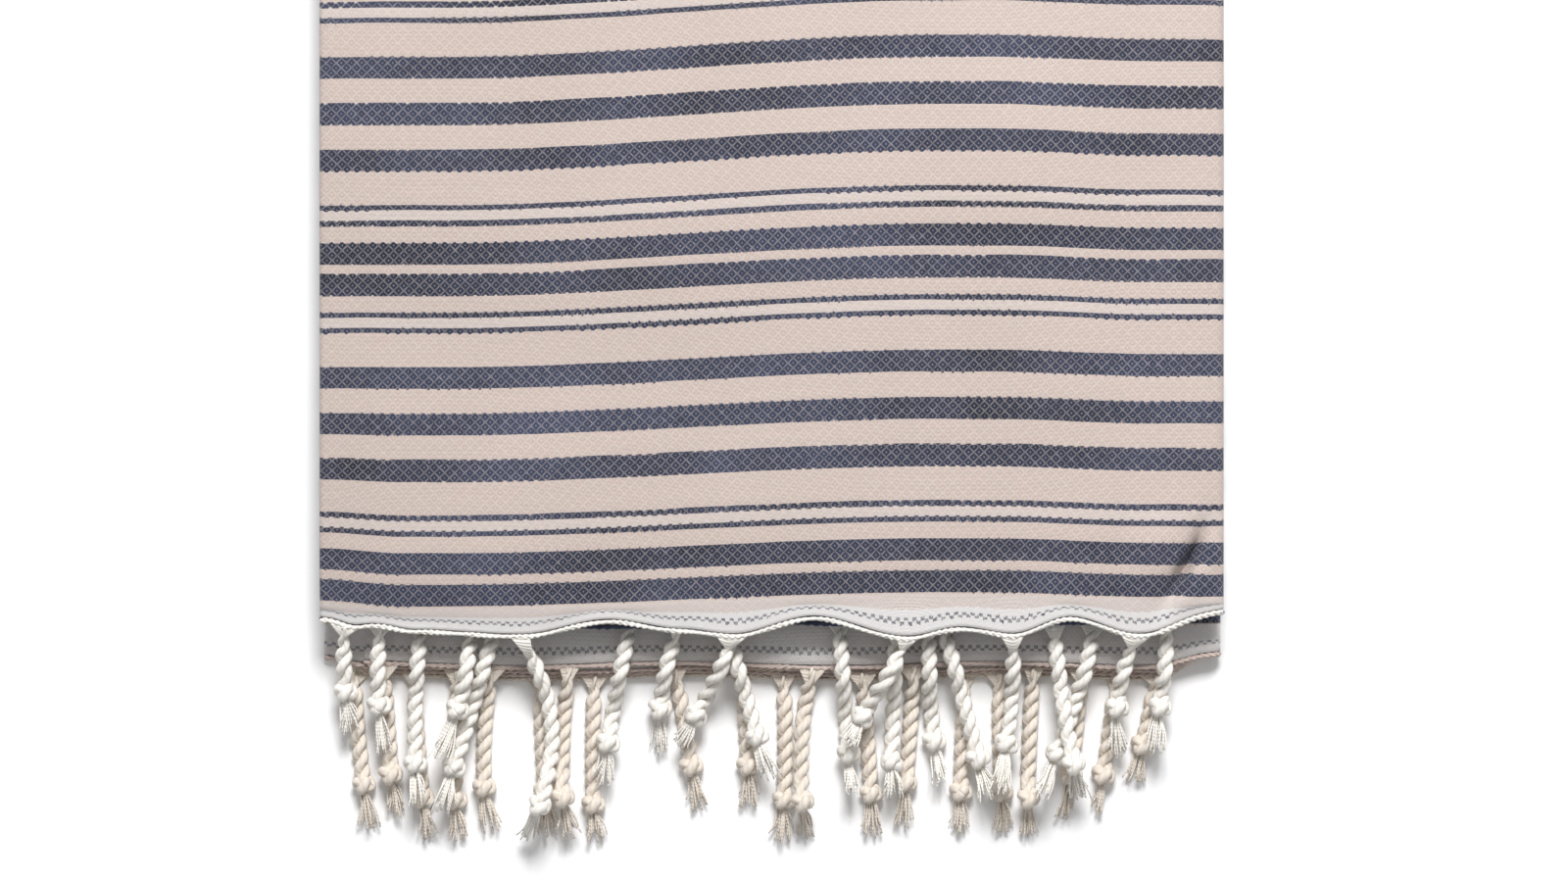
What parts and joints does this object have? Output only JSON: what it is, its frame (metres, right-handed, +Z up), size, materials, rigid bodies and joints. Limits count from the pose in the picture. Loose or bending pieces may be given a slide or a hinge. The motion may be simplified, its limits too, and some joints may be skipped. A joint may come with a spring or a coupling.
{
  "type": "hammam towel",
  "caption": "Flat-woven striped hammam towel, quartered lengthwise, folded once across and laid flat, with knotted cord fringes at its ends.",
  "frame": {"origin": "centre of the towel's footprint, fringe included, on the surface that it lies on", "axes": "+X across the folded strip, +Y along the strip away from the fringed ends, +Z up from the surface"},
  "size_m": [0.24, 0.9036, 0.019],
  "materials": {
    "woven_cotton": "matte flat weave, blush with navy stripes",
    "cotton_cord": "matte twisted undyed cotton"
  },
  "bodies": {
    "root": {"towel_cloth": "woven_cotton", "fringe_upper_end": "cotton_cord", "fringe_lower_end": "cotton_cord"}
  },
  "joints": []
}
